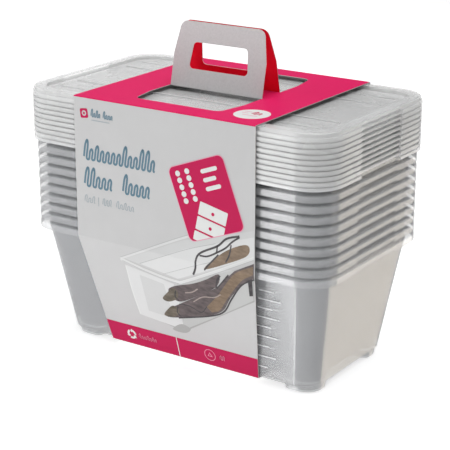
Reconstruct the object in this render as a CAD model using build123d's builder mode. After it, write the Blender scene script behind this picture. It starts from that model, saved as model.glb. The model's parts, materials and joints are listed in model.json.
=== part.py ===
from build123d import *

import os
from math import atan2, cos, degrees, hypot, pi, radians, sin

# Retail ten-pack of lidded shoe boxes: ten nested tubs, ten stacked lids and a
# card sleeve with a carry handle. Millimetres, +X along the tubs, -Y is the
# printed front of the sleeve, +Z up. The origin is on the floor, under the
# middle of the pack.

# ---- pack ----
COUNT = 10  # tubs, and lids
FIT = 0.3  # clearance between pieces that only rest on each other

# ---- tub ----
TUB_HEIGHT = 124.4  # feet to the top of the rim
TUB_PITCH = 9.92  # step between nested tubs
WALL = 1.0
FLOOR = 1.4
FOOT_HEIGHT = 6.2
BASE_HALF = (144.8, 70.1)  # half length and half width
BASE_RADIUS = 20.0
BASE_ROUND = 2.5
MOUTH_HALF = (163.0, 91.8)
MOUTH_RADIUS = 25.0

RIM_HALF = (169.7, 98.4)
RIM_RADIUS = 29.0
RIM_PLATE = 1.2
RIM_ROUND = 1.6
SKIRT = 1.1
SKIRT_DEPTH = 7.0
GRIP_HALF = 36.0  # half width of the finger lift under each end of the rim
GRIP_CUT = 1.8

FOOT_SIZE = (33.0, 28.0)
FOOT_CENTRE = (126.5, 51.0)
FOOT_RADII = (17.0, 7.0)  # outer corner, other corners
FOOT_DRAFT = 8.0
FOOT_RISE = 1.0  # how far the feet run up into the floor

MARK_STEP = 0.5e6  # a fill mark each half litre, in cubic millimetres
MARK_COUNT = 9
MARK_LENGTHS = (24.0, 16.0)  # whole litres, half litres
MARK_WIDTH = 1.1
MARK_HEIGHT = 0.3
MARK_START = 79.0  # left end of a mark at the base
MARK_LEAN = 0.18  # how far the column of marks follows the taper
MARK_SEARCH = 0.1  # step in height when looking for each fill level

# ---- lid, drawn with the top of its border at z = 0 ----
LID_WALL = 1.05
LID_PLAY = 0.35  # clearance between the skirt and the rim of the tub
LID_PLATE = 1.15
LIP_DEPTH = 7.0
LIP_STEP = 1.4  # how far the lip stands out from the band
LIP_WALL = 1.0
LIP_SHELF = 0.85
PLUG_HALF = (160.9, 89.6)
PLUG_RADIUS = 23.0
RECESS = 3.5
PLUG_DEPTH = RECESS + LID_PLATE
LID_PITCH = PLUG_DEPTH + FIT
LIP_HEIGHT = LIP_DEPTH - PLUG_DEPTH + LIP_SHELF
RIB_LENGTH = 300.0
TALL_RIB = (39.5, 2.2, 1.2)  # distance from the middle, width, height
LOW_RIB = (66.5, 1.6, 0.7)
GAP_HALF = 37.0  # half width of the finger gap in the skirt at each end
GAP_TOP = 2.6  # depth of skirt that is left above the finger gap

# ---- card sleeve ----
CARD = 0.7
SLEEVE_HALF = 102.2  # half length along X
SLEEVE_FRONT = 102.9  # outer face of the front and rear panels
CREASE_HEIGHT = 121.4
HEM_HALF = 87.0  # half length of the panels at the bottom edge
HEM_FRONT = 71.4
HEM_PLAY = 0.1  # gap beside a folded edge
SEAM_HEIGHT = 22.0
SEAM_TAPER = 4.0

# ---- carry handle, two flaps cut from the top panel ----
HINGE_Y = 15.5
FLAP_HALF = 52.8
FLAP_SHOULDER = 32.0
FLAP_TOP_HALF = 47.2
FLAP_HEIGHT = 63.5
FLAP_CORNER = 8.0
FLAP_LEAN = 12.0
HOLE_LOW = 18.4
HOLE_HIGH = 44.0
HOLE_LOW_HALF = 33.8
HOLE_HIGH_HALF = 30.6
HOLE_CORNER = 4.0
KERF = 0.3

# ---- worked out from the driving dimensions ----
BAND_INNER = tuple(half + LID_PLAY for half in RIM_HALF)
BAND_INNER_RADIUS = RIM_RADIUS + LID_PLAY
LID_ONE_TOP = TUB_HEIGHT + (COUNT - 1) * TUB_PITCH + FIT + LID_PLATE
LID_STACK_TOP = LID_ONE_TOP + (COUNT - 1) * LID_PITCH
SLEEVE_TOP = LID_STACK_TOP + FIT + CARD
HEM_BOTTOM = FOOT_HEIGHT - FIT - CARD
HINGE_Z = SLEEVE_TOP - CARD / 2
SLANT = atan2(SLEEVE_FRONT - HEM_FRONT, CREASE_HEIGHT - HEM_BOTTOM)

os.makedirs("parts", exist_ok=True)


def save(piece, name):
    """Label a finished piece and write it as one STEP file."""
    piece.label = name
    export_step(piece, f"parts/{name}.step")


def save_stack(piece, name, first_height, pitch):
    """Write the stacked copies of one moulding, the lowest as number 01."""
    for level in range(COUNT):
        with BuildPart() as copy:
            with Locations((0, 0, first_height + level * pitch)):
                add(piece)
        save(copy.part, f"{name}_{level + 1:02d}")


def rounded(half, radius, grow=0.0):
    """A rounded rectangle from its half sizes, grown or shrunk evenly."""
    return RectangleRounded(2 * (half[0] + grow), 2 * (half[1] + grow), radius + grow)


def wall_at(height):
    """Half sizes and corner radius of the outside of the wall at a height."""
    share = (height - FOOT_HEIGHT) / (TUB_HEIGHT - FOOT_HEIGHT)
    half = tuple(low + share * (high - low) for low, high in zip(BASE_HALF, MOUTH_HALF))
    return half, BASE_RADIUS + share * (MOUTH_RADIUS - BASE_RADIUS)


def held_volume(height):
    """Volume of the inside of a tub, from its floor up to a height."""
    floor = FOOT_HEIGHT + FLOOR
    areas = []
    for level in (floor, height):
        half, radius = wall_at(level)
        corner = (4 - pi) * radius**2
        areas.append(4 * (half[0] - WALL) * (half[1] - WALL) - corner)
    return (areas[0] + areas[1]) / 2 * (height - floor)


def fill_heights():
    """Heights at which a tub holds each further half litre."""
    heights = []
    height = FOOT_HEIGHT + FLOOR
    for number in range(1, MARK_COUNT + 1):
        while held_volume(height) < number * MARK_STEP:
            height += MARK_SEARCH
        heights.append(height)
    return heights


def foot_pads(height, grow):
    """The four foot outlines on a level plane."""
    with BuildSketch(Plane.XY.offset(height)) as pads:
        with Locations(FOOT_CENTRE):
            Rectangle(FOOT_SIZE[0] + 2 * grow, FOOT_SIZE[1] + 2 * grow)
        fillet(pads.vertices().sort_by_distance((0, 0, 0))[:3], FOOT_RADII[1] + grow)
        fillet(pads.vertices().sort_by_distance((0, 0, 0))[-1], FOOT_RADII[0] + grow)
        mirror(about=Plane.YZ)
        mirror(about=Plane.XZ)
    return pads.sketch


# ---------------------------------------------------------------- tub
wall_angle = atan2(MOUTH_HALF[1] - BASE_HALF[1], TUB_HEIGHT - FOOT_HEIGHT)

with BuildPart() as tub:
    # rim: a flat flange with a skirt that hangs from its outer edge
    with BuildSketch(Plane.XY.offset(TUB_HEIGHT - SKIRT_DEPTH)):
        rounded(RIM_HALF, RIM_RADIUS)
    extrude(amount=SKIRT_DEPTH)
    fillet(tub.faces().sort_by(Axis.Z)[-1].edges(), RIM_ROUND)
    with BuildSketch(Plane.XY.offset(TUB_HEIGHT - SKIRT_DEPTH)):
        rounded(RIM_HALF, RIM_RADIUS, -SKIRT)
    extrude(amount=SKIRT_DEPTH - RIM_PLATE, mode=Mode.SUBTRACT)
    with BuildSketch(Plane.XY.offset(TUB_HEIGHT - SKIRT_DEPTH)):
        Rectangle(2 * (RIM_HALF[0] + SKIRT), 2 * GRIP_HALF)
    extrude(amount=GRIP_CUT, mode=Mode.SUBTRACT)

with BuildPart() as wall_block:
    # tapered outside of the wall, rounded where it meets the floor
    with BuildSketch(Plane.XY.offset(FOOT_HEIGHT)):
        rounded(BASE_HALF, BASE_RADIUS)
    with BuildSketch(Plane.XY.offset(TUB_HEIGHT)):
        rounded(MOUTH_HALF, MOUTH_RADIUS)
    loft(ruled=True)
    fillet(wall_block.faces().sort_by(Axis.Z)[0].edges(), BASE_ROUND)

with BuildPart() as cavity:
    # inside of the tub, one wall thickness in from the outside
    for level in (FOOT_HEIGHT + FLOOR, TUB_HEIGHT):
        level_half, level_radius = wall_at(level)
        with BuildSketch(Plane.XY.offset(level)):
            rounded(level_half, level_radius, -WALL)
    loft(ruled=True)
    fillet(cavity.faces().sort_by(Axis.Z)[0].edges(), BASE_ROUND - WALL / 2)

with tub:
    add(wall_block.part)
    # hollow corner feet that drop through the floor
    extrude(foot_pads(0, 0), amount=FOOT_HEIGHT + FOOT_RISE, taper=-FOOT_DRAFT)
    add(cavity.part, mode=Mode.SUBTRACT)
    hollow_height = FOOT_HEIGHT + FOOT_RISE / 2
    extrude(foot_pads(FLOOR, -FLOOR), amount=hollow_height, taper=-FOOT_DRAFT, mode=Mode.SUBTRACT)
    # raised fill marks on the front wall, longer at whole litres
    for number, mark_height in enumerate(fill_heights(), start=1):
        mark_half, mark_radius = wall_at(mark_height)
        mark_length = MARK_LENGTHS[number % 2]
        mark_x = MARK_START + MARK_LEAN * mark_height
        mark_plane = Plane(
            origin=(mark_x, -mark_half[1], mark_height),
            x_dir=(1, 0, 0),
            z_dir=(0, -cos(wall_angle), -sin(wall_angle)),
        )
        with BuildSketch(mark_plane):
            with Locations((mark_length / 2, 0)):
                SlotOverall(mark_length, MARK_WIDTH)
        extrude(amount=MARK_HEIGHT)

save_stack(tub.part, "tub", 0, TUB_PITCH)

# ---------------------------------------------------------------- lid
with BuildPart() as lid:
    # border and upper band of the skirt
    with BuildSketch(Plane.XY.offset(-PLUG_DEPTH)):
        rounded(BAND_INNER, BAND_INNER_RADIUS, LID_WALL)
    extrude(amount=PLUG_DEPTH)
    fillet(lid.faces().sort_by(Axis.Z)[-1].edges(), LID_PLATE)

with BuildPart() as lip:
    with BuildSketch(Plane.XY.offset(-LIP_DEPTH)):
        rounded(BAND_INNER, BAND_INNER_RADIUS, LID_WALL + LIP_STEP)
    extrude(amount=LIP_HEIGHT)
    fillet(lip.faces().sort_by(Axis.Z)[-1].edges(), LIP_SHELF)

with lid:
    add(lip.part)
    with BuildSketch(Plane.XY.offset(-LIP_DEPTH)):
        rounded(BAND_INNER, BAND_INNER_RADIUS, LID_WALL + LIP_STEP - LIP_WALL)
    extrude(amount=LIP_HEIGHT - LIP_SHELF, mode=Mode.SUBTRACT)
    with BuildSketch(Plane.XY.offset(-LIP_DEPTH)):
        rounded(BAND_INNER, BAND_INNER_RADIUS)
    extrude(amount=LIP_DEPTH - LID_PLATE, mode=Mode.SUBTRACT)
    # finger gap in the middle of each end
    with BuildSketch(Plane.XY.offset(-LIP_DEPTH)):
        Rectangle(2 * (BAND_INNER[0] + LIP_DEPTH), 2 * GAP_HALF)
    extrude(amount=LIP_DEPTH - GAP_TOP, mode=Mode.SUBTRACT)
    # sunk middle, which drops into the mouth of the tub
    with BuildSketch(Plane.XY.offset(-PLUG_DEPTH)):
        rounded(PLUG_HALF, PLUG_RADIUS)
    extrude(amount=PLUG_DEPTH - LID_PLATE / 2)
    with BuildSketch(Plane.XY.offset(-RECESS)):
        rounded(PLUG_HALF, PLUG_RADIUS, -LID_PLATE)
    extrude(amount=RECESS, mode=Mode.SUBTRACT)
    # long locating ribs that the feet of a lidded box sit between
    for rib_y, rib_width, rib_height in (TALL_RIB, LOW_RIB):
        with BuildSketch(Plane.XY.offset(-RECESS)):
            with Locations((0, rib_y), (0, -rib_y)):
                SlotOverall(RIB_LENGTH, rib_width)
        extrude(amount=rib_height)

save_stack(lid.part, "lid", LID_ONE_TOP, LID_PITCH)

# ---------------------------------------------------------------- card sleeve
with BuildPart() as upper_panel:
    with BuildSketch(Plane.XY.offset(CREASE_HEIGHT)):
        with Locations((0, -SLEEVE_FRONT + CARD / 2)):
            Rectangle(2 * SLEEVE_HALF, CARD)
    extrude(amount=LID_STACK_TOP - CREASE_HEIGHT)

slant_length = hypot(SLEEVE_FRONT - HEM_FRONT, CREASE_HEIGHT - HEM_BOTTOM)
slant_plane = Plane(
    origin=(0, -SLEEVE_FRONT, CREASE_HEIGHT),
    x_dir=(1, 0, 0),
    z_dir=(0, -cos(SLANT), -sin(SLANT)),
)


def slanted_sheet(half_top, half_bottom, start, end):
    """Outline on the slanted lower panel, measured down from the crease."""
    return Polygon(
        (-half_top, -start),
        (half_top, -start),
        (half_bottom, -end),
        (-half_bottom, -end),
        align=None,
    )


with BuildPart() as lower_panel:
    # tapers with the tubs, and narrows towards the feet
    with BuildSketch(slant_plane):
        slanted_sheet(SLEEVE_HALF, HEM_HALF, 0, slant_length + CARD)
    extrude(amount=-CARD)
    split(bisect_by=Plane.XY.offset(CREASE_HEIGHT), keep=Keep.BOTTOM)
    split(bisect_by=Plane.XY.offset(HEM_BOTTOM), keep=Keep.TOP)

with BuildPart() as bottom_panel:
    with BuildSketch(Plane.XY.offset(HEM_BOTTOM)):
        Rectangle(2 * HEM_HALF, 2 * (HEM_FRONT - CARD - HEM_PLAY))
    extrude(amount=CARD)

with BuildPart() as seam_tab:
    # glued overlap that closes the sleeve, on the outside of the rear
    with BuildSketch(slant_plane):
        seam_start = slant_length - SEAM_HEIGHT
        seam_end = slant_length - 2 * HEM_PLAY
        slanted_sheet(HEM_HALF, HEM_HALF - SEAM_TAPER, seam_start, seam_end)
    extrude(amount=CARD)

save(upper_panel.part, "sleeve_front_upper")
save(lower_panel.part, "sleeve_front_lower")
save(mirror(upper_panel.part, about=Plane.XZ), "sleeve_rear_upper")
save(mirror(lower_panel.part, about=Plane.XZ), "sleeve_rear_lower")
save(mirror(seam_tab.part, about=Plane.XZ), "sleeve_seam_tab")
save(bottom_panel.part, "sleeve_bottom")


# ---------------------------------------------------------------- carry handle
def flap_outline(grow=0.0):
    """Flap outline in its own plane, with the hinge line on the local X axis."""
    with BuildSketch() as outline:
        Polygon(
            (-FLAP_HALF - grow, 0),
            (-FLAP_HALF - grow, FLAP_SHOULDER),
            (-FLAP_TOP_HALF - grow, FLAP_HEIGHT + grow),
            (FLAP_TOP_HALF + grow, FLAP_HEIGHT + grow),
            (FLAP_HALF + grow, FLAP_SHOULDER),
            (FLAP_HALF + grow, 0),
            align=None,
        )
        fillet(outline.vertices().group_by(Axis.Y)[-1], FLAP_CORNER + grow)
    return outline.sketch


def hand_hole():
    """Opening for four fingers, wider at the bottom."""
    with BuildSketch() as hole:
        Polygon(
            (-HOLE_LOW_HALF, HOLE_LOW),
            (HOLE_LOW_HALF, HOLE_LOW),
            (HOLE_HIGH_HALF, HOLE_HIGH),
            (-HOLE_HIGH_HALF, HOLE_HIGH),
            align=None,
        )
        fillet(hole.vertices(), HOLE_CORNER)
    return hole.sketch


with BuildPart() as top_panel:
    with BuildSketch(Plane.XY.offset(SLEEVE_TOP - CARD)):
        Rectangle(2 * SLEEVE_HALF, 2 * SLEEVE_FRONT)
        # windows that the flaps were cut from, one each side of the middle strip
        with Locations(Location((0, HINGE_Y, 0)), Location((0, -HINGE_Y, 0), (0, 0, 180))):
            add(flap_outline(KERF), mode=Mode.SUBTRACT)
    extrude(amount=CARD)
    # the middle strip stops one kerf short of each hinge line
    with BuildSketch(Plane.XY.offset(SLEEVE_TOP - CARD)):
        with Locations((0, HINGE_Y), (0, -HINGE_Y)):
            Rectangle(2 * (FLAP_HALF + KERF), CARD + 2 * KERF)
    extrude(amount=CARD, mode=Mode.SUBTRACT)

lean = radians(FLAP_LEAN)
with BuildPart() as front_flap:
    flap_plane = Plane(
        origin=(0, -HINGE_Y, HINGE_Z),
        x_dir=(1, 0, 0),
        z_dir=(0, -cos(lean), sin(lean)),
    )
    with BuildSketch(flap_plane):
        add(flap_outline())
        add(hand_hole(), mode=Mode.SUBTRACT)
    extrude(amount=CARD / 2, both=True)
    # rounded fold along the hinge line
    with BuildSketch(Plane(origin=(-FLAP_HALF, -HINGE_Y, HINGE_Z), x_dir=(0, 1, 0), z_dir=(1, 0, 0))):
        Circle(CARD / 2)
    extrude(amount=2 * FLAP_HALF)

save(top_panel.part, "sleeve_top")
save(front_flap.part, "handle_flap_front")
save(mirror(front_flap.part, about=Plane.XZ), "handle_flap_rear")

print("lid stack top", round(LID_STACK_TOP, 2), "sleeve top", round(SLEEVE_TOP, 2))
print("slant angle", round(degrees(SLANT), 2), "hinge z", round(HINGE_Z, 2))
print("tub holds", round(held_volume(TUB_HEIGHT) / 1e6, 2), "litres")
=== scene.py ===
import json
import math

import bmesh
import bpy
from mathutils import Matrix, Vector


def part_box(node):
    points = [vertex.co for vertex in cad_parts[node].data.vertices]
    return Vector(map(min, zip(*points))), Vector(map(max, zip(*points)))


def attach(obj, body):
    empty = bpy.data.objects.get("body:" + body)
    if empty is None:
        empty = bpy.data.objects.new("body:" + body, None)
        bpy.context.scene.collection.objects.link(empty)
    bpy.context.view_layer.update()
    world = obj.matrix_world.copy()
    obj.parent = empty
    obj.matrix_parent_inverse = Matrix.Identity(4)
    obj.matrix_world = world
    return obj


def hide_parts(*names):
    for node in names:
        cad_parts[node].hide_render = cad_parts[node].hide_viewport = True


# Looks of a retail ten-pack of lidded shoe boxes. The tubs and lids are the CAD
# nodes with moulded polypropylene on them. The card sleeve and the two handle
# flaps are built here as folded, printed card in the same places.
# Card and artwork are drawn in millimetres; objects and the studio are in metres.

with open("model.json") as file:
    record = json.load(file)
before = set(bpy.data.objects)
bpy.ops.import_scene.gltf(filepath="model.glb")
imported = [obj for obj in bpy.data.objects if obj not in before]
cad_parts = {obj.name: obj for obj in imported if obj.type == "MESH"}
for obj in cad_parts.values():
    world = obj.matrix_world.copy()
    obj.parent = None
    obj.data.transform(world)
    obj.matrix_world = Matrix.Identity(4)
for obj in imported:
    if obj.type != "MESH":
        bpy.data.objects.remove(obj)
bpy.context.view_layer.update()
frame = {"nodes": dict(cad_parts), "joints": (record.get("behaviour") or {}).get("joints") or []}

MM = 0.001
COUNT = 10

# ---- places read from the frame, in millimetres ----
UPPER_LOW, UPPER_HIGH = (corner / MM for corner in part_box("sleeve_front_upper"))
TOP_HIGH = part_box("sleeve_top")[1] / MM
BOTTOM_LOW, BOTTOM_HIGH = (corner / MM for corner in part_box("sleeve_bottom"))
CARD = UPPER_HIGH.y - UPPER_LOW.y
FRONT_Y = UPPER_LOW.y
SLEEVE_HALF = UPPER_HIGH.x
CREASE_Z = UPPER_LOW.z
UPPER_TOP_Z = UPPER_HIGH.z
TOP_Z = TOP_HIGH.z
HEM_Z = BOTTOM_LOW.z
HEM_HALF = BOTTOM_HIGH.x
HEM_Y = -(BOTTOM_HIGH.y + CARD)

joint_places = {joint["name"]: joint for joint in frame["joints"]}
HINGE = Vector(joint_places["front_flap_fold"]["pos_m"]) / MM

# ---- tolerances of the mesh work, in millimetres ----
MERGE = 1e-4
CUT = 1e-5
REACHED = 1e-6

# ---- card ----
CREASE_RADIUS = 1.6
HEM_RADIUS = 1.2
FOLD_RADIUS = 0.75 * (TOP_Z - UPPER_TOP_Z)
SEAM_GAP = 0.06  # between the wrap and the top panel along the upper folds
EDGE_ROUND = 0.12
EDGE_ANGLE = math.radians(50)  # folds gentler than this keep their own shape
KNUCKLE_STEPS = 10
KERF = 0.3
SEAM_RISE = 21.0
SEAM_TAPER = 4.0

SLEEVE_MIDDLE = Vector((0, 0, CREASE_Z * MM))

# ---- handle flaps, drawn from the hinge line up ----
FLAP_HALF = 52.8
FLAP_SHOULDER = 32.0
FLAP_TOP_HALF = 47.2
FLAP_HEIGHT = 63.5
FLAP_CORNER = 8.0
FLAP_LEAN = math.radians(12.0)
HOLE_LOW = (33.8, 18.4)
HOLE_HIGH = (30.6, 44.0)
HOLE_CORNER = 4.0

# ---- print ----
INK = 0.05  # thickness of a printed layer
LAYER = 0.07  # step from one printed layer to the next
MARK_RISE = 0.3  # height of the fill marks on the tubs

# ---- plastics: linear colour, alpha, least and most roughness, coat ----
# tubs and lids are one polypropylene: the tubs' colour is set darker as painted shade, the lids'
# lighter as painted light on the lid stack
TUB_PLASTIC_PAINTED_SHADE = ((0.61, 0.62, 0.635), 0.38, 0.12, 0.18, 0.9)
LID_PLASTIC_PAINTED_LIGHT = ((0.87, 0.875, 0.875), 0.40, 0.20, 0.30, 0.25)
# lighter than the tub plastic: painted highlight on the raised fill marks
MARK_PAINTED_HIGHLIGHT = ((0.86, 0.87, 0.88), 0.9, 0.5, 0.65, 0.0)
PLASTIC_SPECULAR = 0.9
COAT_ROUGHNESS = 0.12

# ---- inks and card, linear colours ----
PINK = (0.66, 0.009, 0.108)
DEEP_PINK = (0.50, 0.007, 0.078)
PALE_PINK = (0.74, 0.30, 0.42)
# the flaps carry the same pink print as the top; this redder, brighter colour is painted light: pink
# light bounced between the flaps, raised to make up for their shade
FLAP_PAINTED_BOUNCE_RED = (0.95, 0.007, 0.046)
PANEL_GREY = (0.525, 0.525, 0.527)
BOARD_GREY = (0.60, 0.585, 0.59)
PAPER_WHITE = (0.68, 0.69, 0.68)
SLATE = (0.125, 0.215, 0.275)
LABEL_GREY = (0.33, 0.38, 0.41)


# ================================================================ materials
NOISE_LOW = 0.3  # a noise value is rarely below this or above the next
NOISE_HIGH = 0.7


class Surface:
    """A Principled material with short helpers for its procedural nodes."""

    def __init__(self, name):
        self.material = bpy.data.materials.new(name)
        self.material.use_nodes = True
        self.tree = self.material.node_tree
        self.shader = self.tree.nodes["Principled BSDF"]
        self.place = self.tree.nodes.new("ShaderNodeTexCoord").outputs["Object"]

    def stretched(self, scale):
        """Object coordinates scaled unevenly, for grain with a direction."""
        mapping = self.tree.nodes.new("ShaderNodeMapping")
        mapping.inputs["Scale"].default_value = scale
        self.tree.links.new(self.place, mapping.inputs["Vector"])
        return mapping.outputs["Vector"]

    def noise(self, scale, detail=3.0, rough=0.5, place=None):
        """Fractal noise, 0 to 1, with features of about 1 / scale metres."""
        node = self.tree.nodes.new("ShaderNodeTexNoise")
        node.inputs["Scale"].default_value = scale
        node.inputs["Detail"].default_value = detail
        node.inputs["Roughness"].default_value = rough
        self.tree.links.new(place or self.place, node.inputs["Vector"])
        return node.outputs["Fac"]

    def spread(self, value, low, high):
        """A noise value stretched to a range of numbers."""
        node = self.tree.nodes.new("ShaderNodeMapRange")
        node.inputs["From Min"].default_value = NOISE_LOW
        node.inputs["From Max"].default_value = NOISE_HIGH
        node.inputs["To Min"].default_value = low
        node.inputs["To Max"].default_value = high
        self.tree.links.new(value, node.inputs["Value"])
        return node.outputs["Result"]

    def between(self, value, first, second):
        """A colour that runs from the first to the second with the value."""
        node = self.tree.nodes.new("ShaderNodeValToRGB")
        node.color_ramp.elements[0].position = NOISE_LOW
        node.color_ramp.elements[0].color = (*first, 1)
        node.color_ramp.elements[1].position = NOISE_HIGH
        node.color_ramp.elements[1].color = (*second, 1)
        self.tree.links.new(value, node.inputs["Fac"])
        return node.outputs["Color"]

    def bump(self, height, distance, strength=1.0, below=None):
        """Surface relief, laid over any relief that is already there."""
        node = self.tree.nodes.new("ShaderNodeBump")
        node.inputs["Strength"].default_value = strength
        node.inputs["Distance"].default_value = distance
        self.tree.links.new(height, node.inputs["Height"])
        if below is not None:
            self.tree.links.new(below, node.inputs["Normal"])
        return node.outputs["Normal"]

    def feed(self, socket, value):
        """Link a node's output to the shader, or set a plain value on it."""
        if isinstance(value, bpy.types.NodeSocket):
            self.tree.links.new(value, self.shader.inputs[socket])
        else:
            self.shader.inputs[socket].default_value = value


def shade(colour, factor):
    """The same colour, lighter or darker."""
    return tuple(min(1.0, channel * factor) for channel in colour)


def moulded_plastic(name, colour, alpha, gloss_low, gloss_high, coat):
    """Translucent polypropylene: soft flow marks, faint ripples, uneven sheen."""
    surface = Surface(name)
    flow = surface.noise(1.0, 4.0, 0.6, surface.stretched((14, 14, 5)))
    ripple = surface.noise(1.0, 2.0, 0.4, surface.stretched((26, 26, 70)))
    haze = surface.noise(24, 2.0, 0.4)
    surface.feed("Base Color", surface.between(flow, shade(colour, 0.985), shade(colour, 1.01)))
    surface.feed("Roughness", surface.spread(haze, gloss_low, gloss_high))
    surface.feed("Normal", surface.bump(ripple, 0.0006, 0.12))
    surface.feed("Alpha", alpha)
    surface.feed("Specular IOR Level", PLASTIC_SPECULAR)
    surface.feed("Coat Weight", coat)
    surface.feed("Coat Roughness", COAT_ROUGHNESS)
    return surface.material


def printed_card(name, colour, gloss=0.6):
    """Coated card: paper fibre, slight mottling of the ink, soft gloss."""
    surface = Surface(name)
    fibre = surface.noise(1.0, 4.0, 0.65, surface.stretched((700, 2600, 2600)))
    mottle = surface.noise(45, 4.0, 0.6)
    surface.feed("Base Color", surface.between(mottle, shade(colour, 0.985), shade(colour, 1.01)))
    surface.feed("Roughness", surface.spread(fibre, gloss - 0.05, gloss + 0.08))
    wave = surface.bump(mottle, 0.0004, 0.12)
    surface.feed("Normal", surface.bump(fibre, 0.00003, 0.4, wave))
    surface.feed("Specular IOR Level", 0.16)
    return surface.material


def raw_board(name, colour):
    """Unprinted grey board or a cut edge: visible fibres, matt."""
    surface = Surface(name)
    fibre = surface.noise(1.0, 5.0, 0.7, surface.stretched((900, 3200, 900)))
    fleck = surface.noise(480, 2.0, 0.8)
    surface.feed("Base Color", surface.between(fleck, shade(colour, 0.93), shade(colour, 1.035)))
    surface.feed("Roughness", surface.spread(fibre, 0.62, 0.82))
    surface.feed("Normal", surface.bump(fibre, 0.00005, 0.5))
    surface.feed("Specular IOR Level", 0.3)
    return surface.material


def brushed_ink(name, dark, light):
    """Ink of the printed picture, with soft streaks like worn leather."""
    surface = Surface(name)
    streak = surface.noise(1.0, 4.0, 0.6, surface.stretched((120, 120, 300)))
    fibre = surface.noise(2600, 2.0)
    surface.feed("Base Color", surface.between(streak, dark, light))
    surface.feed("Roughness", surface.spread(fibre, 0.38, 0.5))
    surface.feed("Normal", surface.bump(fibre, 0.00003, 0.3))
    return surface.material


INKS = {
    "pink": printed_card("ink_pink", PINK),
    "deep_pink": printed_card("ink_deep_pink", DEEP_PINK),
    "pale_pink": printed_card("ink_pale_pink", PALE_PINK),
    "white": printed_card("ink_white", PAPER_WHITE),
    "slate": printed_card("ink_slate", SLATE),
    "label": printed_card("ink_label_grey", LABEL_GREY),
    "shade": printed_card("ink_picture_shade", (0.37, 0.37, 0.365)),
    "mist": printed_card("ink_picture_mist", (0.48, 0.485, 0.48)),
    "glass_mid": printed_card("ink_glass_mid", (0.56, 0.565, 0.565)),
    "glass_light": printed_card("ink_glass_light", (0.63, 0.635, 0.635)),
    "glass_line": printed_card("ink_glass_line", (0.40, 0.41, 0.41)),
    "strap": brushed_ink("ink_strap", (0.035, 0.032, 0.036), (0.085, 0.075, 0.08)),
    "vamp": brushed_ink("ink_vamp", (0.075, 0.058, 0.06), (0.16, 0.125, 0.125)),
    "insole": brushed_ink("ink_insole", (0.16, 0.105, 0.065), (0.27, 0.19, 0.12)),
    "toe": brushed_ink("ink_toe", (0.085, 0.072, 0.05), (0.20, 0.165, 0.125)),
    "glint": brushed_ink("ink_glint", (0.30, 0.24, 0.22), (0.42, 0.35, 0.32)),
}
PANEL_CARD = printed_card("card_panel_grey", PANEL_GREY)
PINK_CARD = printed_card("card_pink", PINK)
# painted bounce light and shade on the flaps' pink print
FLAP_PAINTED_BOUNCE_CARD = printed_card("card_flap_painted_bounce_red", FLAP_PAINTED_BOUNCE_RED)
GREY_BOARD = raw_board("board_grey_back", BOARD_GREY)
CUT_EDGE = raw_board("board_cut_edge", (0.66, 0.63, 0.62))


# ================================================================ outlines
def rounded(points, radii, closed=True, steps=6):
    """A polygon or polyline with true arcs at its corners."""
    made = []
    last = len(points) - 1
    for index, (point, radius) in enumerate(zip(points, radii)):
        corner = Vector(point)
        if radius == 0 or (not closed and index in (0, last)):
            made.append(corner)
            continue
        to_before = (Vector(points[index - 1]) - corner).normalized()
        to_after = (Vector(points[(index + 1) % len(points)]) - corner).normalized()
        half_turn = (math.pi - to_before.angle(to_after)) / 2
        centre = corner + (to_before + to_after).normalized() * (radius / math.cos(half_turn))
        spoke = corner + to_before * radius * math.tan(half_turn) - centre
        sign = 1 if to_before.cross(to_after) < 0 else -1
        for step in range(steps + 1):
            turn = Matrix.Rotation(sign * 2 * half_turn * step / steps, 2)
            made.append(centre + turn @ spoke)
    return made


def turned(points, centre, angle):
    """Points turned about the origin, then moved to a centre."""
    turn = Matrix.Rotation(angle, 2)
    return [Vector(centre) + turn @ Vector(point) for point in points]


def block(width, height, radius, centre=(0, 0), angle=0.0):
    """A rounded rectangle."""
    half = (width / 2, height / 2)
    corners = [(-half[0], -half[1]), (half[0], -half[1]), half, (-half[0], half[1])]
    return turned(rounded(corners, [radius] * 4), centre, angle)


def disc(centre, radius, squash=1.0, steps=40):
    """A circle, or an oval when squashed."""
    turns = [2 * math.pi * step / steps for step in range(steps)]
    return [
        Vector((centre[0] + radius * math.cos(turn), centre[1] + radius * squash * math.sin(turn)))
        for turn in turns
    ]


def smooth(points, steps=6, closed=False):
    """A Catmull-Rom curve through the points."""
    nodes = [Vector(point) for point in points]
    if closed:
        nodes = [nodes[-1], *nodes, nodes[0], nodes[1]]
    else:
        nodes = [2 * nodes[0] - nodes[1], *nodes, 2 * nodes[-1] - nodes[-2]]
    made = []
    for before, start, end, after in zip(nodes, nodes[1:], nodes[2:], nodes[3:]):
        for step in range(steps):
            t = step / steps
            made.append(
                start
                + (end - before) * (t / 2)
                + (2 * before - 5 * start + 4 * end - after) * (t * t / 2)
                + (3 * start - before - 3 * end + after) * (t**3 / 2)
            )
    if not closed:
        made.append(nodes[-2])
    return made


def ribbon_strips(line, width):
    """Four-cornered patches along a line, for a stroke of even width."""
    sides = []
    for index, point in enumerate(line):
        along = line[min(index + 1, len(line) - 1)] - line[max(index - 1, 0)]
        across = Vector((-along.y, along.x)).normalized() * (width / 2)
        sides.append((point + across, point - across))
    return sides


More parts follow.
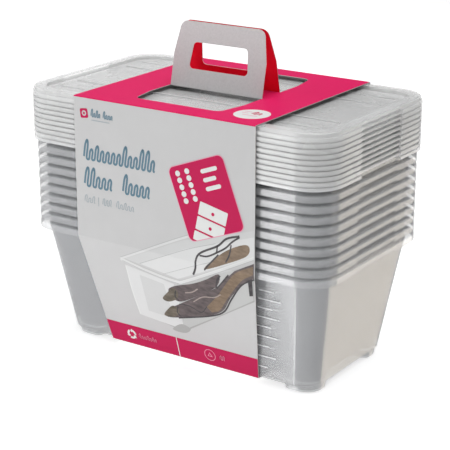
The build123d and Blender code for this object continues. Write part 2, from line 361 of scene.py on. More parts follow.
# ================================================================ flat sheets
def filled(outlines):
    """A flat bmesh of the area inside the outlines; inner ones are holes."""
    curve = bpy.data.curves.new("outline", "CURVE")
    curve.dimensions = "2D"
    curve.fill_mode = "BOTH"
    for outline in outlines:
        spline = curve.splines.new("POLY")
        spline.points.add(len(outline) - 1)
        for point, place in zip(spline.points, outline):
            point.co = (place[0], place[1], 0, 1)
        spline.use_cyclic_u = True
    holder = bpy.data.objects.new("outline", curve)
    bpy.context.scene.collection.objects.link(holder)
    mesh = bpy.data.meshes.new_from_object(holder)
    sheet = bmesh.new()
    sheet.from_mesh(mesh)
    bmesh.ops.remove_doubles(sheet, verts=sheet.verts, dist=MERGE)
    for face in sheet.faces:
        if face.normal.z < 0:
            face.normal_flip()
    bpy.data.objects.remove(holder)
    bpy.data.curves.remove(curve)
    bpy.data.meshes.remove(mesh)
    return sheet


def cut_rows(sheet, heights):
    """Cut a flat bmesh along level lines, so that it can fold there."""
    for height in heights:
        parts = [*sheet.verts, *sheet.edges, *sheet.faces]
        bmesh.ops.bisect_plane(
            sheet, geom=parts, dist=CUT, plane_co=(0, height, 0), plane_no=(0, 1, 0)
        )


def finish_sheet(sheet, name, materials):
    """Turn a bmesh in millimetres into a linked object in metres."""
    bmesh.ops.scale(sheet, vec=(MM, MM, MM), verts=sheet.verts)
    mesh = bpy.data.meshes.new(name)
    sheet.to_mesh(mesh)
    sheet.free()
    for material in materials:
        mesh.materials.append(material)
    piece = bpy.data.objects.new(name, mesh)
    bpy.context.scene.collection.objects.link(piece)
    return piece


def thicken(piece, thickness, offset, rounding=0.0):
    """Give a sheet its thickness; a sheet with three materials gets its back and its edge in
    materials 1 and 2.
    """
    solid = piece.modifiers.new("thickness", "SOLIDIFY")
    solid.thickness = thickness * MM
    solid.offset = offset
    if len(piece.data.materials) > 2:
        solid.material_offset = 1
        solid.material_offset_rim = 2
    if rounding:
        edge = piece.modifiers.new("worn_edge", "BEVEL")
        edge.width = rounding * MM
        edge.segments = 2
        edge.limit_method = "ANGLE"
        edge.angle_limit = EDGE_ANGLE


# ================================================================ folded card
class Profile:
    """The side view of a folded sheet, walked by distance from its start."""

    def __init__(self, corners, radii):
        self.points = rounded(corners, radii, closed=False)
        self.at = [0.0]
        for before, after in zip(self.points, self.points[1:]):
            self.at.append(self.at[-1] + (after - before).length)

    def length(self):
        return self.at[-1]

    def place(self, distance):
        """(y, z) on the sheet at a distance along it."""
        for index in range(1, len(self.at)):
            if distance <= self.at[index] + REACHED or index == len(self.at) - 1:
                span = self.at[index] - self.at[index - 1]
                share = (distance - self.at[index - 1]) / span
                return self.points[index - 1].lerp(self.points[index], share)

    def distance_to(self, height):
        """Distance at which the first run of the sheet reaches a height."""
        return abs(self.points[0].y - height)

    def fold(self, sheet):
        """Cut a flat sheet at the folds and bend it along the profile."""
        cut_rows(sheet, self.at[1:-1])
        for vertex in sheet.verts:
            y, z = self.place(vertex.co.y)
            vertex.co = (vertex.co.x, y, z)


def wrap_card():
    """Front, bottom and rear panels of the sleeve, folded from one blank."""
    corners = [
        (FRONT_Y, UPPER_TOP_Z - SEAM_GAP),
        (FRONT_Y, CREASE_Z),
        (HEM_Y, HEM_Z),
        (-HEM_Y, HEM_Z),
        (-FRONT_Y, CREASE_Z),
        (-FRONT_Y, UPPER_TOP_Z - SEAM_GAP),
    ]
    radii = [0, CREASE_RADIUS, HEM_RADIUS, HEM_RADIUS, CREASE_RADIUS, 0]
    profile = Profile(corners, radii)
    crease = profile.distance_to(CREASE_Z)
    slant = (Vector(corners[2]) - Vector(corners[1])).length
    hem = crease + slant
    length = profile.length()
    right = [
        (SLEEVE_HALF, 0),
        (SLEEVE_HALF, crease),
        (HEM_HALF, hem),
        (HEM_HALF, length - hem),
        (SLEEVE_HALF, length - crease),
        (SLEEVE_HALF, length),
    ]
    left = [(-x, distance) for x, distance in reversed(right)]
    sheet = filled([right + left])
    profile.fold(sheet)
    piece = finish_sheet(sheet, "sleeve_wrap_card", [PANEL_CARD, GREY_BOARD, CUT_EDGE])
    face_outwards(piece, SLEEVE_MIDDLE)
    thicken(piece, CARD, -1, EDGE_ROUND)
    return piece


def face_outwards(piece, centre):
    """Turn every face of an open sheet away from a centre."""
    sheet = bmesh.new()
    sheet.from_mesh(piece.data)
    for face in sheet.faces:
        if face.normal.dot(face.calc_center_median() - centre) < 0:
            face.normal_flip()
    sheet.to_mesh(piece.data)
    sheet.free()


def seam_card():
    """Glued overlap on the outside of the rear panel, by the bottom edge."""
    slope = (Vector((-FRONT_Y, CREASE_Z)) - Vector((-HEM_Y, HEM_Z))).normalized()
    out = Vector((slope.y, -slope.x))
    start = Vector((-HEM_Y, HEM_Z)) + slope * (2 * KERF) + out * INK
    corners = [
        (-HEM_HALF + SEAM_TAPER, 0),
        (HEM_HALF - SEAM_TAPER, 0),
        (HEM_HALF, SEAM_RISE),
        (-HEM_HALF, SEAM_RISE),
    ]
    sheet = filled([rounded(corners, [0, 0, HEM_RADIUS, HEM_RADIUS])])
    for vertex in sheet.verts:
        y, z = start + slope * vertex.co.y
        vertex.co = (vertex.co.x, y, z)
    piece = finish_sheet(sheet, "sleeve_seam_card", [PANEL_CARD, GREY_BOARD, CUT_EDGE])
    face_outwards(piece, SLEEVE_MIDDLE)
    thicken(piece, CARD - 2 * INK, 1, EDGE_ROUND)
    return piece


def top_card():
    """Top panel with the two windows that the handle flaps were cut from."""
    corners = [
        (FRONT_Y, UPPER_TOP_Z),
        (FRONT_Y, TOP_Z),
        (-FRONT_Y, TOP_Z),
        (-FRONT_Y, UPPER_TOP_Z),
    ]
    profile = Profile(corners, [0, FOLD_RADIUS, FOLD_RADIUS, 0])
    middle = profile.length() / 2
    near = -HINGE.y - CARD / 2 - KERF
    window = [
        (-FLAP_HALF - KERF, near),
        (FLAP_HALF + KERF, near),
        (FLAP_HALF + KERF, FLAP_SHOULDER - HINGE.y),
        (FLAP_TOP_HALF + KERF, FLAP_HEIGHT + KERF - HINGE.y),
        (-FLAP_TOP_HALF - KERF, FLAP_HEIGHT + KERF - HINGE.y),
        (-FLAP_HALF - KERF, FLAP_SHOULDER - HINGE.y),
    ]
    arcs = [0, 0, 0, FLAP_CORNER + KERF, FLAP_CORNER + KERF, 0]
    rear = [(point.x, middle + point.y) for point in rounded(window, arcs)]
    front = [(x, 2 * middle - distance) for x, distance in rear]
    panel = [
        (-SLEEVE_HALF, 0),
        (SLEEVE_HALF, 0),
        (SLEEVE_HALF, 2 * middle),
        (-SLEEVE_HALF, 2 * middle),
    ]
    sheet = filled([panel, rear, front])
    profile.fold(sheet)
    piece = finish_sheet(sheet, "sleeve_top_card", [PINK_CARD, GREY_BOARD, CUT_EDGE])
    face_outwards(piece, SLEEVE_MIDDLE)
    thicken(piece, CARD, -1, EDGE_ROUND)
    return piece


def flap_card(name, side):
    """One flat handle flap with its hand hole; the rounded fold at its foot is a separate piece.

    side is -1 for the front flap and 1 for the rear one. Its printed face
    looks at the other flap."""
    outline = [
        (-FLAP_HALF, 0),
        (FLAP_HALF, 0),
        (FLAP_HALF, FLAP_SHOULDER),
        (FLAP_TOP_HALF, FLAP_HEIGHT),
        (-FLAP_TOP_HALF, FLAP_HEIGHT),
        (-FLAP_HALF, FLAP_SHOULDER),
    ]
    hole = [
        (-HOLE_LOW[0], HOLE_LOW[1]),
        (HOLE_LOW[0], HOLE_LOW[1]),
        HOLE_HIGH,
        (-HOLE_HIGH[0], HOLE_HIGH[1]),
    ]
    sheet = filled(
        [rounded(outline, [0, 0, 0, FLAP_CORNER, FLAP_CORNER, 0]), rounded(hole, [HOLE_CORNER] * 4)]
    )
    up = Vector((0, -side * math.sin(FLAP_LEAN), math.cos(FLAP_LEAN)))
    inward = Vector((0, -side * math.cos(FLAP_LEAN), -math.sin(FLAP_LEAN)))
    foot = Vector((0, side * -HINGE.y, HINGE.z)) + inward * (CARD / 2)
    for vertex in sheet.verts:
        vertex.co = Vector((vertex.co.x, 0, 0)) + foot + up * vertex.co.y
    for face in sheet.faces:
        face.normal_update()
        if face.normal.dot(inward) < 0:
            face.normal_flip()
    # the printed face gets the painted red of light bounced between the flaps
    piece = finish_sheet(sheet, name, [FLAP_PAINTED_BOUNCE_CARD, GREY_BOARD, CUT_EDGE])
    thicken(piece, CARD, -1, EDGE_ROUND)
    return piece


def fold_knuckle(name, side):
    """The rolled outside of the fold, where a flap leaves the middle strip."""
    sheet = bmesh.new()
    rings = []
    for x in (-FLAP_HALF, FLAP_HALF):
        ring = []
        for step in range(KNUCKLE_STEPS + 1):
            turn = math.pi * step / KNUCKLE_STEPS
            across = side * math.cos(turn) * CARD / 2
            drop = -math.sin(turn) * CARD / 2
            ring.append(sheet.verts.new((x, side * -HINGE.y + across, HINGE.z + drop)))
        rings.append(ring)
    for index in range(KNUCKLE_STEPS):
        first, second = rings[0][index], rings[0][index + 1]
        third, fourth = rings[1][index + 1], rings[1][index]
        sheet.faces.new((first, second, third, fourth))
    sheet.faces.new((rings[0][0], rings[1][0], rings[1][-1], rings[0][-1]))
    sheet.faces.new(rings[0])
    sheet.faces.new(rings[1])
    bmesh.ops.recalc_face_normals(sheet, faces=sheet.faces)
    return finish_sheet(sheet, name, [GREY_BOARD])


# ================================================================ artwork
FRONTWARD = Vector((0, -1, 0))
UPWARD = Vector((0, 0, 1))


class Print:
    """Flat artwork on one panel: shapes in several inks and layers."""

    def __init__(self, name):
        self.name = name
        self.sheet = bmesh.new()
        self.layer = self.sheet.verts.layers.float.new("layer")
        self.inks = []

    def ink_index(self, ink):
        if ink not in self.inks:
            self.inks.append(ink)
        return self.inks.index(ink)

    def shape(self, ink, level, *outlines):
        """An area of one ink; further outlines are holes in it."""
        area = filled(outlines)
        copies = {vertex: self.vertex(vertex.co, level) for vertex in area.verts}
        for face in area.faces:
            made = self.sheet.faces.new([copies[vertex] for vertex in face.verts])
            made.material_index = self.ink_index(ink)
        area.free()

    def vertex(self, place, level):
        made = self.sheet.verts.new((place[0], place[1], 0))
        made[self.layer] = level
        return made

    def line(self, ink, level, points, width, curved=True):
        """A stroke of even width."""
        path = smooth(points) if curved else [Vector(point) for point in points]
        sides = [
            (self.vertex(left, level), self.vertex(right, level))
            for left, right in ribbon_strips(path, width)
        ]
        for (left_a, right_a), (left_b, right_b) in zip(sides, sides[1:]):
            made = self.sheet.faces.new((right_a, right_b, left_b, left_a))
            made.material_index = self.ink_index(ink)

    def lay(self, rows, place, outward):
        """Bend the artwork onto its panel and give the ink its thickness."""
        cut_rows(self.sheet, rows)
        for vertex in self.sheet.verts:
            lift = INK / 2 + LAYER * vertex[self.layer]
            spot, normal = place(vertex.co.x, vertex.co.y)
            vertex.co = spot + normal * lift
        for face in self.sheet.faces:
            face.normal_update()
            if face.normal.dot(outward) < 0:
                face.normal_flip()
        piece = finish_sheet(self.sheet, self.name, [INKS[ink] for ink in self.inks])
        solid = piece.modifiers.new("ink_thickness", "SOLIDIFY")
        solid.thickness = INK * MM
        solid.offset = 0
        return piece


def on_front(x, z):
    """Place and outward direction on the front panels at a height."""
    if z >= CREASE_Z:
        return Vector((x, FRONT_Y, z)), FRONTWARD
    slope = (HEM_Y - FRONT_Y) / (CREASE_Z - HEM_Z)
    normal = Vector((0, -1, -slope)).normalized()
    return Vector((x, FRONT_Y + (CREASE_Z - z) * slope, z)), normal


def on_top(x, y):
    """Place and outward direction on the top panel."""
    return Vector((x, y, TOP_Z)), UPWARD


# one stroke of the placeholder writing, as shares of its step and height
SLANT = 0.16
STROKE = ((0.0, 0.12), (0.02, 0.75), (0.28, 1.0), (0.5, 0.75), (0.5, 0.12), (0.75, 0.0))


def scribble(artwork, ink, start, heights, step, width):
    """A word-like row of joined strokes, with no letters in it."""
    x, base = start
    points = []
    for height in heights:
        for along, rise in STROKE:
            points.append((x + step * along + SLANT * height * rise, base + height * rise))
        x += step
    artwork.line(ink, 1, points, width)


def title_print():
    """Placeholder wording at the upper left of the front panel."""
    art = Print("front_title_print")
    spot = (-90.2, 244.8)
    art.shape("deep_pink", 1, block(9.2, 9.2, 1.6, spot, 0.12), disc(spot, 2.7))
    art.shape("deep_pink", 1, disc(spot, 1.2))
    scribble(art, "slate", (-82.0, 242.6), [7.5, 3.6, 6.6, 3.6], 3.0, 1.0)
    scribble(art, "slate", (-67.5, 242.6), [7.0, 3.6, 3.6, 3.6], 3.0, 1.0)
    art.line("label", 1, [(-81.5, 239.3), (-60.0, 239.3)], 0.9, curved=False)
    tall, middling, small = 19.0, 14.5, 10.5
    upper = [tall, small, middling, *[small] * 4, tall, small, small, tall, tall, small]
    scribble(art, "slate", (-92.2, 200.2), upper, 6.6, 2.2)
    scribble(art, "slate", (-92.2, 173.6), [18.5, 18.5, small, small, small], 7.0, 2.2)
    scribble(art, "slate", (-46.0, 173.6), [18.5, small, small, small, small], 6.6, 2.2)
    scribble(art, "label", (-92.4, 157.4), [7.0, 4.4, 6.6], 4.6, 0.8)
    art.line("label", 1, [(-75.4, 164.2), (-75.4, 155.2)], 0.7, curved=False)
    scribble(art, "label", (-70.6, 157.4), [6.8, 5.6, 6.8], 3.9, 0.8)
    scribble(art, "label", (-54.0, 157.4), [7.0, 4.4, 6.8, 4.4, 4.4], 4.4, 0.8)
    return art.lay([], on_front, FRONTWARD)


BADGE_CENTRE = (49.4, 184.8)
BADGE_TURN = math.radians(20.7)
BADGE_FOOT = -35.5  # height of its lower edge in its own frame
BADGE_BORDER = 0.7
DRAWER_TURN = math.radians(-12.0)
PIP_RADIUS = 2.7
KNOB_RADIUS = 1.7


def badge_spot(u, v):
    """A place in the badge's own turned frame."""
    return turned([(u, v)], BADGE_CENTRE, BADGE_TURN)[0]


def above_badge_edge(points):
    """The part of an outline that lies above the badge's lower edge."""
    sides = [turned([point - Vector(BADGE_CENTRE)], (0, 0), -BADGE_TURN)[0].y for point in points]
    kept = []
    for index, (point, side) in enumerate(zip(points, sides)):
        before, before_side = points[index - 1], sides[index - 1]
        if (side > BADGE_FOOT) != (before_side > BADGE_FOOT):
            share = (BADGE_FOOT - before_side) / (side - before_side)
            kept.append(before.lerp(point, share))
        if side > BADGE_FOOT:
            kept.append(point)
    return kept


def badge_print():
    """Turned badge with ten pips and a little chest of drawers."""
    art = Print("front_badge_print")
    width, height = 63.2, -2 * BADGE_FOOT
    outer = (width + 2 * BADGE_BORDER, height + 2 * BADGE_BORDER)
    art.shape("pale_pink", 3, block(*outer, 6.4, BADGE_CENTRE, BADGE_TURN))
    art.shape("deep_pink", 4, block(width, height, 5.8, BADGE_CENTRE, BADGE_TURN))
    for column in (-22.5, -11.5):
        for row in range(5):
            art.shape("white", 5, disc(badge_spot(column, 28.6 - 6.6 * row), PIP_RADIUS))
    for row, length in enumerate((19.0, 15.0, 17.5)):
        spot = badge_spot(3.5 + length / 2, 25.0 - 8.4 * row)
        art.shape("white", 5, block(length, 4.0, 2.0, spot, BADGE_TURN))
    chest_of_drawers(art)
    return art.lay([], on_front, FRONTWARD)


def chest_of_drawers(art):
    """Three drawers that lean the other way; the badge's lower edge cuts them."""
    for row, height in enumerate((13.0, 13.0, 9.0)):
        middle, top = 57.2 - 3.0 * row, 178.6 - 14.4 * row
        drawer = block(31.0, height, 0.8, (middle, top - height / 2), DRAWER_TURN)
        art.shape("white", 5, above_badge_edge(drawer))
        if row < 2:
            art.shape("deep_pink", 6, disc((middle, top - height * 0.55), KNOB_RADIUS))


def strip_print():
    """Band along the bottom edge, with two plain recycling signs."""
    art = Print("front_strip_print")
    top_z = 28.1
    low_z = HEM_Z + 0.8
    top_half = HEM_HALF + (SLEEVE_HALF - HEM_HALF) * (top_z - HEM_Z) / (CREASE_Z - HEM_Z)
    band = [(-HEM_HALF, low_z), (HEM_HALF, low_z), (top_half, top_z), (-top_half, top_z)]
    art.shape("deep_pink", 1, [Vector(corner) for corner in band])
    art.line("white", 2, [(-3.8, low_z), (-4.2, top_z)], 0.9, curved=False)
    recycling_sign(art, (-60.5, 17.6), 5.4)
    scribble(art, "pale_pink", (-52.0, 15.2), [5.2, 3.0, 3.0, 4.8, 3.0, 4.8, 3.0], 3.2, 0.8)
    centre = (33.8, 17.8)
    art.shape("pale_pink", 2, disc(centre, 6.4), disc(centre, 5.8))
    triangle = turned([(-2.8, -1.6), (2.8, -1.6), (0, 3.2)], centre, 0.0)
    inner = turned([(-1.7, -1.0), (1.7, -1.0), (0, 1.9)], centre, 0.0)
    art.shape("pale_pink", 2, triangle, inner)
    scribble(art, "pale_pink", (45.0, 15.4), [4.8, 4.8], 3.2, 0.9)
    return art.lay([], on_front, FRONTWARD)


def recycling_sign(art, centre, radius):
    """Three arrows chasing round a ring."""
    for number in range(3):
        start = 2 * math.pi * number / 3
        arc = [start + math.radians(step) for step in range(0, 81, 10)]
        outer = [Vector((math.cos(turn), math.sin(turn))) * radius for turn in arc]
        inner = [Vector((math.cos(turn), math.sin(turn))) * radius * 0.58 for turn in reversed(arc)]
        tip = arc[-1] + math.radians(30)
        head = [
            Vector((math.cos(arc[-1]), math.sin(arc[-1]))) * radius * 1.22,
            Vector((math.cos(tip), math.sin(tip))) * radius * 0.8,
            Vector((math.cos(arc[-1]), math.sin(arc[-1]))) * radius * 0.38,
        ]
        outline = [Vector(centre) + point for point in outer + head + inner]
        art.shape("white", 2, outline)


PICTURE_EDGE = SLEEVE_HALF - 0.6  # the picture runs off the panel here
PICTURE_FOOT_EDGE = SLEEVE_HALF - 4.6  # and here, near the tapered lower panel


def picture_box(art):
    """The clear box: its shadow, inside, walls and foot."""
    edge, low_edge = PICTURE_EDGE, PICTURE_FOOT_EDGE
    art.shape("shade", 0, [(-40, 46), (8, 38), (low_edge, 93), (edge, 119), (20, 70)])
    inside = [(-48, 107), (23, 140), (edge, 164), (edge, 137), (14, 98)]
    art.shape("glass_mid", 0.4, inside)
    art.shape("glass_light", 0.6, [(-30, 105), (25, 132), (edge, 158), (edge, 139), (12, 98)])
    art.line("glass_line", 0.8, [(-31, 105), (25, 131), (60, 144)], 0.5)
    art.line("glass_line", 0.8, [(-4, 99.5), (35, 117), (60, 127)], 0.4)
    art.line("glass_light", 0.9, [(-54, 105.5), (23, 142.4), (60, 156)], 2.2)
    art.line("glass_line", 1.0, [(-53.6, 107.2), (23, 143.8), (60, 157.4)], 0.6)
    wall = [(-50, 100), (6, 91), (10, 60), (7, 39), (-4, 41), (-44, 45)]
    art.shape("glass_light", 0.5, wall)
    art.shape("glass_mid", 0.7, [(-34, 92), (-6, 88), (-2, 50), (-32, 52)])
    far_wall = [(10, 92), (edge, 132), (edge - 5, 94), (60, 71), (18, 46), (7, 39)]
    art.shape("mist", 0.5, far_wall)
    art.line("white", 0.9, [(-49, 98), (-47.6, 72), (-43.6, 45.6)], 1.2)
    foot = smooth([(-6, 38), (0, 35.8), (10, 37), (16, 43), (6, 46)], closed=True)
    art.shape("shade", 0.8, foot)


def rear_sandal(art):
    """The sandal behind, half out of the box."""
    heel_seat = [(46, 116), (62, 132), (76, 142), (92, 149), (97, 146), (93, 138), (72, 127)]
    art.shape("insole", 1.2, smooth(heel_seat, closed=True))
    art.line("strap", 1.5, [(46, 115), (54, 124), (63, 134)], 1.5)
    art.line("strap", 1.6, [(32, 107), (36, 115), (41, 130), (62, 142), (72, 151), (86, 156)], 2.0)
    art.line("strap", 1.6, [(42, 129), (51, 130), (62, 136), (71, 142), (78, 149), (86, 155)], 1.7)
    art.line("strap", 1.6, [(62, 143), (61, 135)], 1.5, curved=False)
    art.line("strap", 1.6, [(77, 146), (75, 136), (71, 128)], 1.5)
    vamp = [(-2, 81), (5, 88), (30, 97), (46, 105), (62, 114), (57, 100), (33, 84), (8, 72)]
    art.shape("vamp", 1.3, smooth(vamp, closed=True))
    toe = [(-11, 71), (-4, 79), (4, 86), (9, 83), (7, 75), (-4, 69)]
    art.shape("toe", 1.5, smooth(toe, closed=True))


def picture_rim(art):
    """The near rim of the box, which runs in front of the rear sandal."""
    edge = PICTURE_EDGE
    art.line("glass_light", 2.4, [(-54, 105.5), (-22, 98.6), (9, 94.6), (25, 99), (edge, 138)], 3.4)
    art.line("white", 2.6, [(-53, 106.6), (-22, 99.8), (9, 95.8), (25, 100.4), (edge, 139.2)], 0.9)
    art.line("glass_line", 2.6, [(-52, 104), (-22, 97), (9, 93), (25, 97.4), (edge, 136.4)], 0.5)


def front_sandal(art):
    """The sandal in front, whose heel runs off the panel."""
    edge, low_edge = PICTURE_EDGE, PICTURE_FOOT_EDGE
    upper_edge = smooth([(-13, 52), (-6, 60), (8, 69), (33, 84), (57, 99), (68, 110), (81, 122)])
    lower_edge = smooth([(86, 109), (71, 91), (59, 74), (40, 64), (4, 53), (-9, 50.6)])
    ends = [Vector((edge, 133)), Vector((edge, 119))]
    art.shape("vamp", 1.7, upper_edge + ends + lower_edge)
    insole_top = smooth([(41, 74), (57, 91), (72, 110), (83, 121), (edge - 1, 130)])
    insole_foot = smooth([(edge - 1, 122), (86, 112), (67, 89), (56, 74), (46, 69)])
    art.shape("insole", 2.0, insole_top + insole_foot)
    front_toe = [(-13, 52), (-7, 60), (0, 65.4), (6, 63), (5, 57), (-3, 52)]
    art.shape("toe", 2.0, smooth(front_toe, closed=True))
    art.line("strap", 2.1, [(edge, 117.6), (86, 108), (72, 90), (60, 73), (41, 63.6), (4, 52.6)], 1.6)
    art.line("strap", 2.2, [(56, 98), (59, 107), (63, 113)], 2.0)
    art.line("strap", 2.2, [(57, 98), (66, 108), (73, 116)], 1.4)
    art.line("glint", 2.3, [(26, 76), (38, 84), (52, 87), (60, 92)], 1.1)
    art.line("strap", 2.3, [(8, 69), (20, 70), (33, 66), (41, 74)], 1.0)
    art.line("glint", 2.3, [(18, 84), (27, 87), (34, 92)], 1.2)
    art.line("strap", 2.2, [(6, 66), (4, 59), (8, 54)], 1.4)
    art.line("strap", 2.2, [(7, 84), (5, 77), (9, 73)], 1.4)
    heel = [(94, 115), (low_edge + 1.6, 118), (low_edge - 0.6, 99), (93, 98)]
    art.shape("strap", 2.2, [Vector(point) for point in heel])


def picture_print():
    """A pair of plain sandals in an open clear box, across the crease."""
    art = Print("front_picture_print")
    picture_box(art)
    rear_sandal(art)
    picture_rim(art)
    front_sandal(art)
    return art.lay([CREASE_Z], on_front, FRONTWARD)


SEAL_CENTRE = (77.5, -70.5)
SEAL_RADIUS = 17.0


def top_print():
    """White seal with generic pink strokes near the right front corner."""
    art = Print("top_seal_print")
    art.shape("white", 0, disc(SEAL_CENTRE, SEAL_RADIUS, steps=64))
    scribble(art, "deep_pink", (76.0, -70.0), [8.0, 5.5], 5.4, 1.5)
    art.line("pale_pink", 2, [(66.0, -64.5), (74.0, -64.5)], 1.0, curved=False)
    art.line("pale_pink", 2, [(66.0, -69.5), (73.0, -69.5)], 1.0, curved=False)
    art.line("pale_pink", 2, [(70.0, -75.5), (86.0, -75.5)], 1.0, curved=False)
    return art.lay([], on_top, UPWARD)


# ================================================================ the pieces
def coat_plastic():
    """Put the moulded materials on the carried-over tubs and lids."""
    # the darker tub colour is painted shade, the lighter lid colour painted light
    tub = moulded_plastic("tub_polypropylene_painted_shade", *TUB_PLASTIC_PAINTED_SHADE)
    lid = moulded_plastic("lid_polypropylene_painted_light", *LID_PLASTIC_PAINTED_LIGHT)
    for number in range(1, COUNT + 1):
        for kind, material in (("tub", tub), ("lid", lid)):
            node = frame["nodes"][f"{kind}_{number:02d}"]
            for slot in node.material_slots:
                slot.material = material


SAME_PLANE = 0.99999  # cosine between the normals of two level faces


def raised_marks(number, material):
    """The tops of the fill marks on a tub, matt and lighter than the tub: the lighter colour is a
    painted highlight where they catch the light.
    """
    node = frame["nodes"][f"tub_{number:02d}"]
    facing = [face for face in node.data.polygons if face.normal.y < -0.95 and face.normal.z < -0.1]
    wall = max(facing, key=lambda face: face.area)
    level = wall.normal.dot(wall.center) + MARK_RISE * MM / 2
    tops = [
        face
        for face in facing
        if face.normal.dot(wall.normal) > SAME_PLANE and wall.normal.dot(face.center) > level
    ]
    sheet = bmesh.new()
    for face in tops:
        lift = face.normal * (INK * MM)
        corners = [(node.data.vertices[index].co + lift) / MM for index in face.vertices]
        sheet.faces.new([sheet.verts.new(corner) for corner in corners])
    bmesh.ops.remove_doubles(sheet, verts=sheet.verts, dist=INK / 10)
    piece = finish_sheet(sheet, f"fill_marks_{number:02d}", [material])
    thicken(piece, INK, 0)
    return piece


def build_marks():
    """Matt, lighter pieces on the tops of the fill marks of every tub: a painted highlight."""
    highlight_paint = moulded_plastic("mark_painted_highlight", *MARK_PAINTED_HIGHLIGHT)
    for number in range(1, COUNT + 1):
        marks = raised_marks(number, highlight_paint)
        body = "base_tub" if number == 1 else f"nested_tub_{number:02d}"
        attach(marks, body)


def build_sleeve():
    """Card sleeve and its artwork, each on the body it belongs to."""
    wrap = wrap_card()
    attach(wrap, "sleeve_wrap")
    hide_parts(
        "sleeve_front_upper",
        "sleeve_front_lower",
        "sleeve_rear_upper",
        "sleeve_rear_lower",
        "sleeve_bottom",
    )
    seam = seam_card()
    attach(seam, "sleeve_wrap")
    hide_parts("sleeve_seam_tab")
    top = top_card()
    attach(top, "sleeve_top_panel")
    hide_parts("sleeve_top")
    for artwork in (title_print(), badge_print(), picture_print(), strip_print()):
        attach(artwork, "sleeve_wrap")
    seal = top_print()
    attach(seal, "sleeve_top_panel")


def build_handle():
    """The two flaps of the carry handle."""
    for place, side in (("front", -1), ("rear", 1)):
        flap = flap_card(f"handle_{place}_card", side)
        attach(flap, f"{place}_handle")
        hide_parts(f"handle_flap_{place}")
        knuckle = fold_knuckle(f"handle_{place}_fold", side)
        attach(knuckle, f"{place}_handle")


# ================================================================ the studio
CAMERA_PLACE = (0.78224, -1.15058, 0.58555)
CAMERA_HEADING = math.radians(34.218)
CAMERA_DIP = math.radians(18.456)
CAMERA_LENS = 118.617
CAMERA_SHIFT = (0.00094, 0.00237)
SENSOR_WIDTH = 36.0
FAR_CLIP = 100.0


def make_camera():
    """The photo's view, from the front right and a little above."""
    data = bpy.data.cameras.new("camera")
    data.lens = CAMERA_LENS
    data.sensor_width = SENSOR_WIDTH
    data.shift_x, data.shift_y = CAMERA_SHIFT
    data.clip_end = FAR_CLIP
    camera = bpy.data.objects.new("camera", data)
    camera.location = CAMERA_PLACE
    camera.rotation_euler = (math.pi / 2 - CAMERA_DIP, 0, CAMERA_HEADING)
    bpy.context.scene.collection.objects.link(camera)
    bpy.context.scene.camera = camera


def around(azimuth, distance, height):
    """A place round the pack; azimuth 0 is in front and 90 on the right."""
    turn = math.radians(azimuth)
    return Vector((math.sin(turn) * distance, -math.cos(turn) * distance, height))


LIGHT_DISTANCE = 2.4
LIGHT_AIM = Vector((0, 0, 0.15))
CEILING = Vector((0.25, 0.0, 2.3))
WHITE = (1, 1, 1)
WARM = (1.0, 0.89, 0.75)
DIM_AZIMUTH = 30
DIM_EDGE, DIM_MIDDLE = 0.1, 0.75  # cosines of the angle from the dim side
STUDIO_BRIGHT, STUDIO_DIM = 0.64, 0.10
FLOOR_HALF = 15.0
FLOOR_DROP = 0.0005
FLOOR_PAINT = (0.93, 0.93, 0.93, 1)
FLOOR_GLOW = 0.55
CLEAR_LAYERS = 24  # see-through surfaces that a ray may pass


def softbox(name, place, size, power, colour=WHITE):
    """A rectangular light that faces the middle of the pack."""
    data = bpy.data.lights.new(name, "AREA")
    data.shape = "RECTANGLE"
    data.size, data.size_y = size
    data.energy = power
    data.color = colour
    light = bpy.data.objects.new(name, data)
    light.location = place
    light.rotation_euler = (LIGHT_AIM - place).to_track_quat("-Z", "Y").to_euler()
    bpy.context.scene.collection.objects.link(light)
    light.visible_camera = False


def make_lights():
    """Strips that mirror in the front and end walls, and soft light around."""
    front = around(-29.5, LIGHT_DISTANCE, -0.45)
    front_left = around(-64, LIGHT_DISTANCE, 1.0)
    right_rear = around(149, LIGHT_DISTANCE, -1.35)
    left_rear = around(-135, 2.6, 0.5)
    softbox("front_strip", front, (0.38, 3.7), 22)
    softbox("front_left_softbox", front_left, (1.3, 1.8), 17)
    softbox("overhead_softbox", CEILING, (2.4, 2.0), 60)
    softbox("right_rear_softbox", right_rear, (1.2, 2.0), 13.5, WARM)
    softbox("left_rear_softbox", left_rear, (1.4, 1.6), 5)


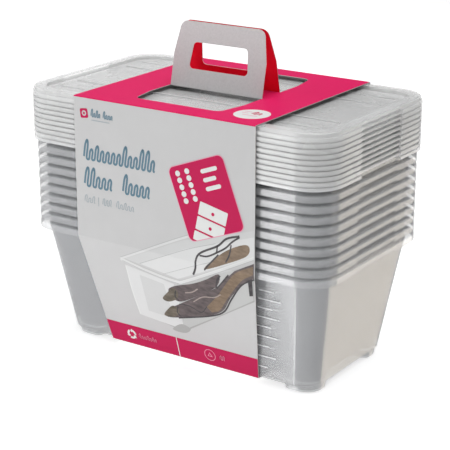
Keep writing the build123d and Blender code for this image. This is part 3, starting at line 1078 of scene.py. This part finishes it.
def make_world():
    """Even studio light, dimmer on the side where the camera stands."""
    world = bpy.data.worlds.new("studio")
    world.use_nodes = True
    tree = world.node_tree
    background = tree.nodes["Background"]
    place = tree.nodes.new("ShaderNodeTexCoord").outputs["Generated"]
    facing = tree.nodes.new("ShaderNodeVectorMath")
    facing.operation = "DOT_PRODUCT"
    facing.inputs[1].default_value = around(DIM_AZIMUTH, 1.0, 0.0)
    tree.links.new(place, facing.inputs[0])
    fade = tree.nodes.new("ShaderNodeMapRange")
    fade.interpolation_type = "SMOOTHSTEP"
    fade.inputs["From Min"].default_value = DIM_EDGE
    fade.inputs["From Max"].default_value = DIM_MIDDLE
    fade.inputs["To Min"].default_value = STUDIO_BRIGHT
    fade.inputs["To Max"].default_value = STUDIO_DIM
    tree.links.new(facing.outputs["Value"], fade.inputs["Value"])
    tree.links.new(fade.outputs["Result"], background.inputs["Strength"])
    bpy.context.scene.world = world


def make_floor():
    """A wide pale floor that reflections and shadows pass through."""
    sheet = bmesh.new()
    corners = [(-FLOOR_HALF, -FLOOR_HALF), (FLOOR_HALF, -FLOOR_HALF)]
    corners += [(FLOOR_HALF, FLOOR_HALF), (-FLOOR_HALF, FLOOR_HALF)]
    sheet.faces.new([sheet.verts.new((x, y, -FLOOR_DROP)) for x, y in corners])
    mesh = bpy.data.meshes.new("floor")
    sheet.to_mesh(mesh)
    sheet.free()
    surface = Surface("floor_paint")
    surface.feed("Base Color", FLOOR_PAINT)
    surface.feed("Roughness", 0.9)
    surface.feed("Emission Color", (*WHITE, 1))
    surface.feed("Emission Strength", FLOOR_GLOW)
    mesh.materials.append(surface.material)
    floor = bpy.data.objects.new("floor", mesh)
    floor.visible_glossy = False
    floor.visible_shadow = False
    bpy.context.scene.collection.objects.link(floor)


coat_plastic()
build_marks()
build_sleeve()
build_handle()
make_camera()
make_lights()
make_world()
make_floor()
bpy.context.scene.view_settings.view_transform = "Standard"
bpy.context.scene.cycles.transparent_max_bounces = CLEAR_LAYERS
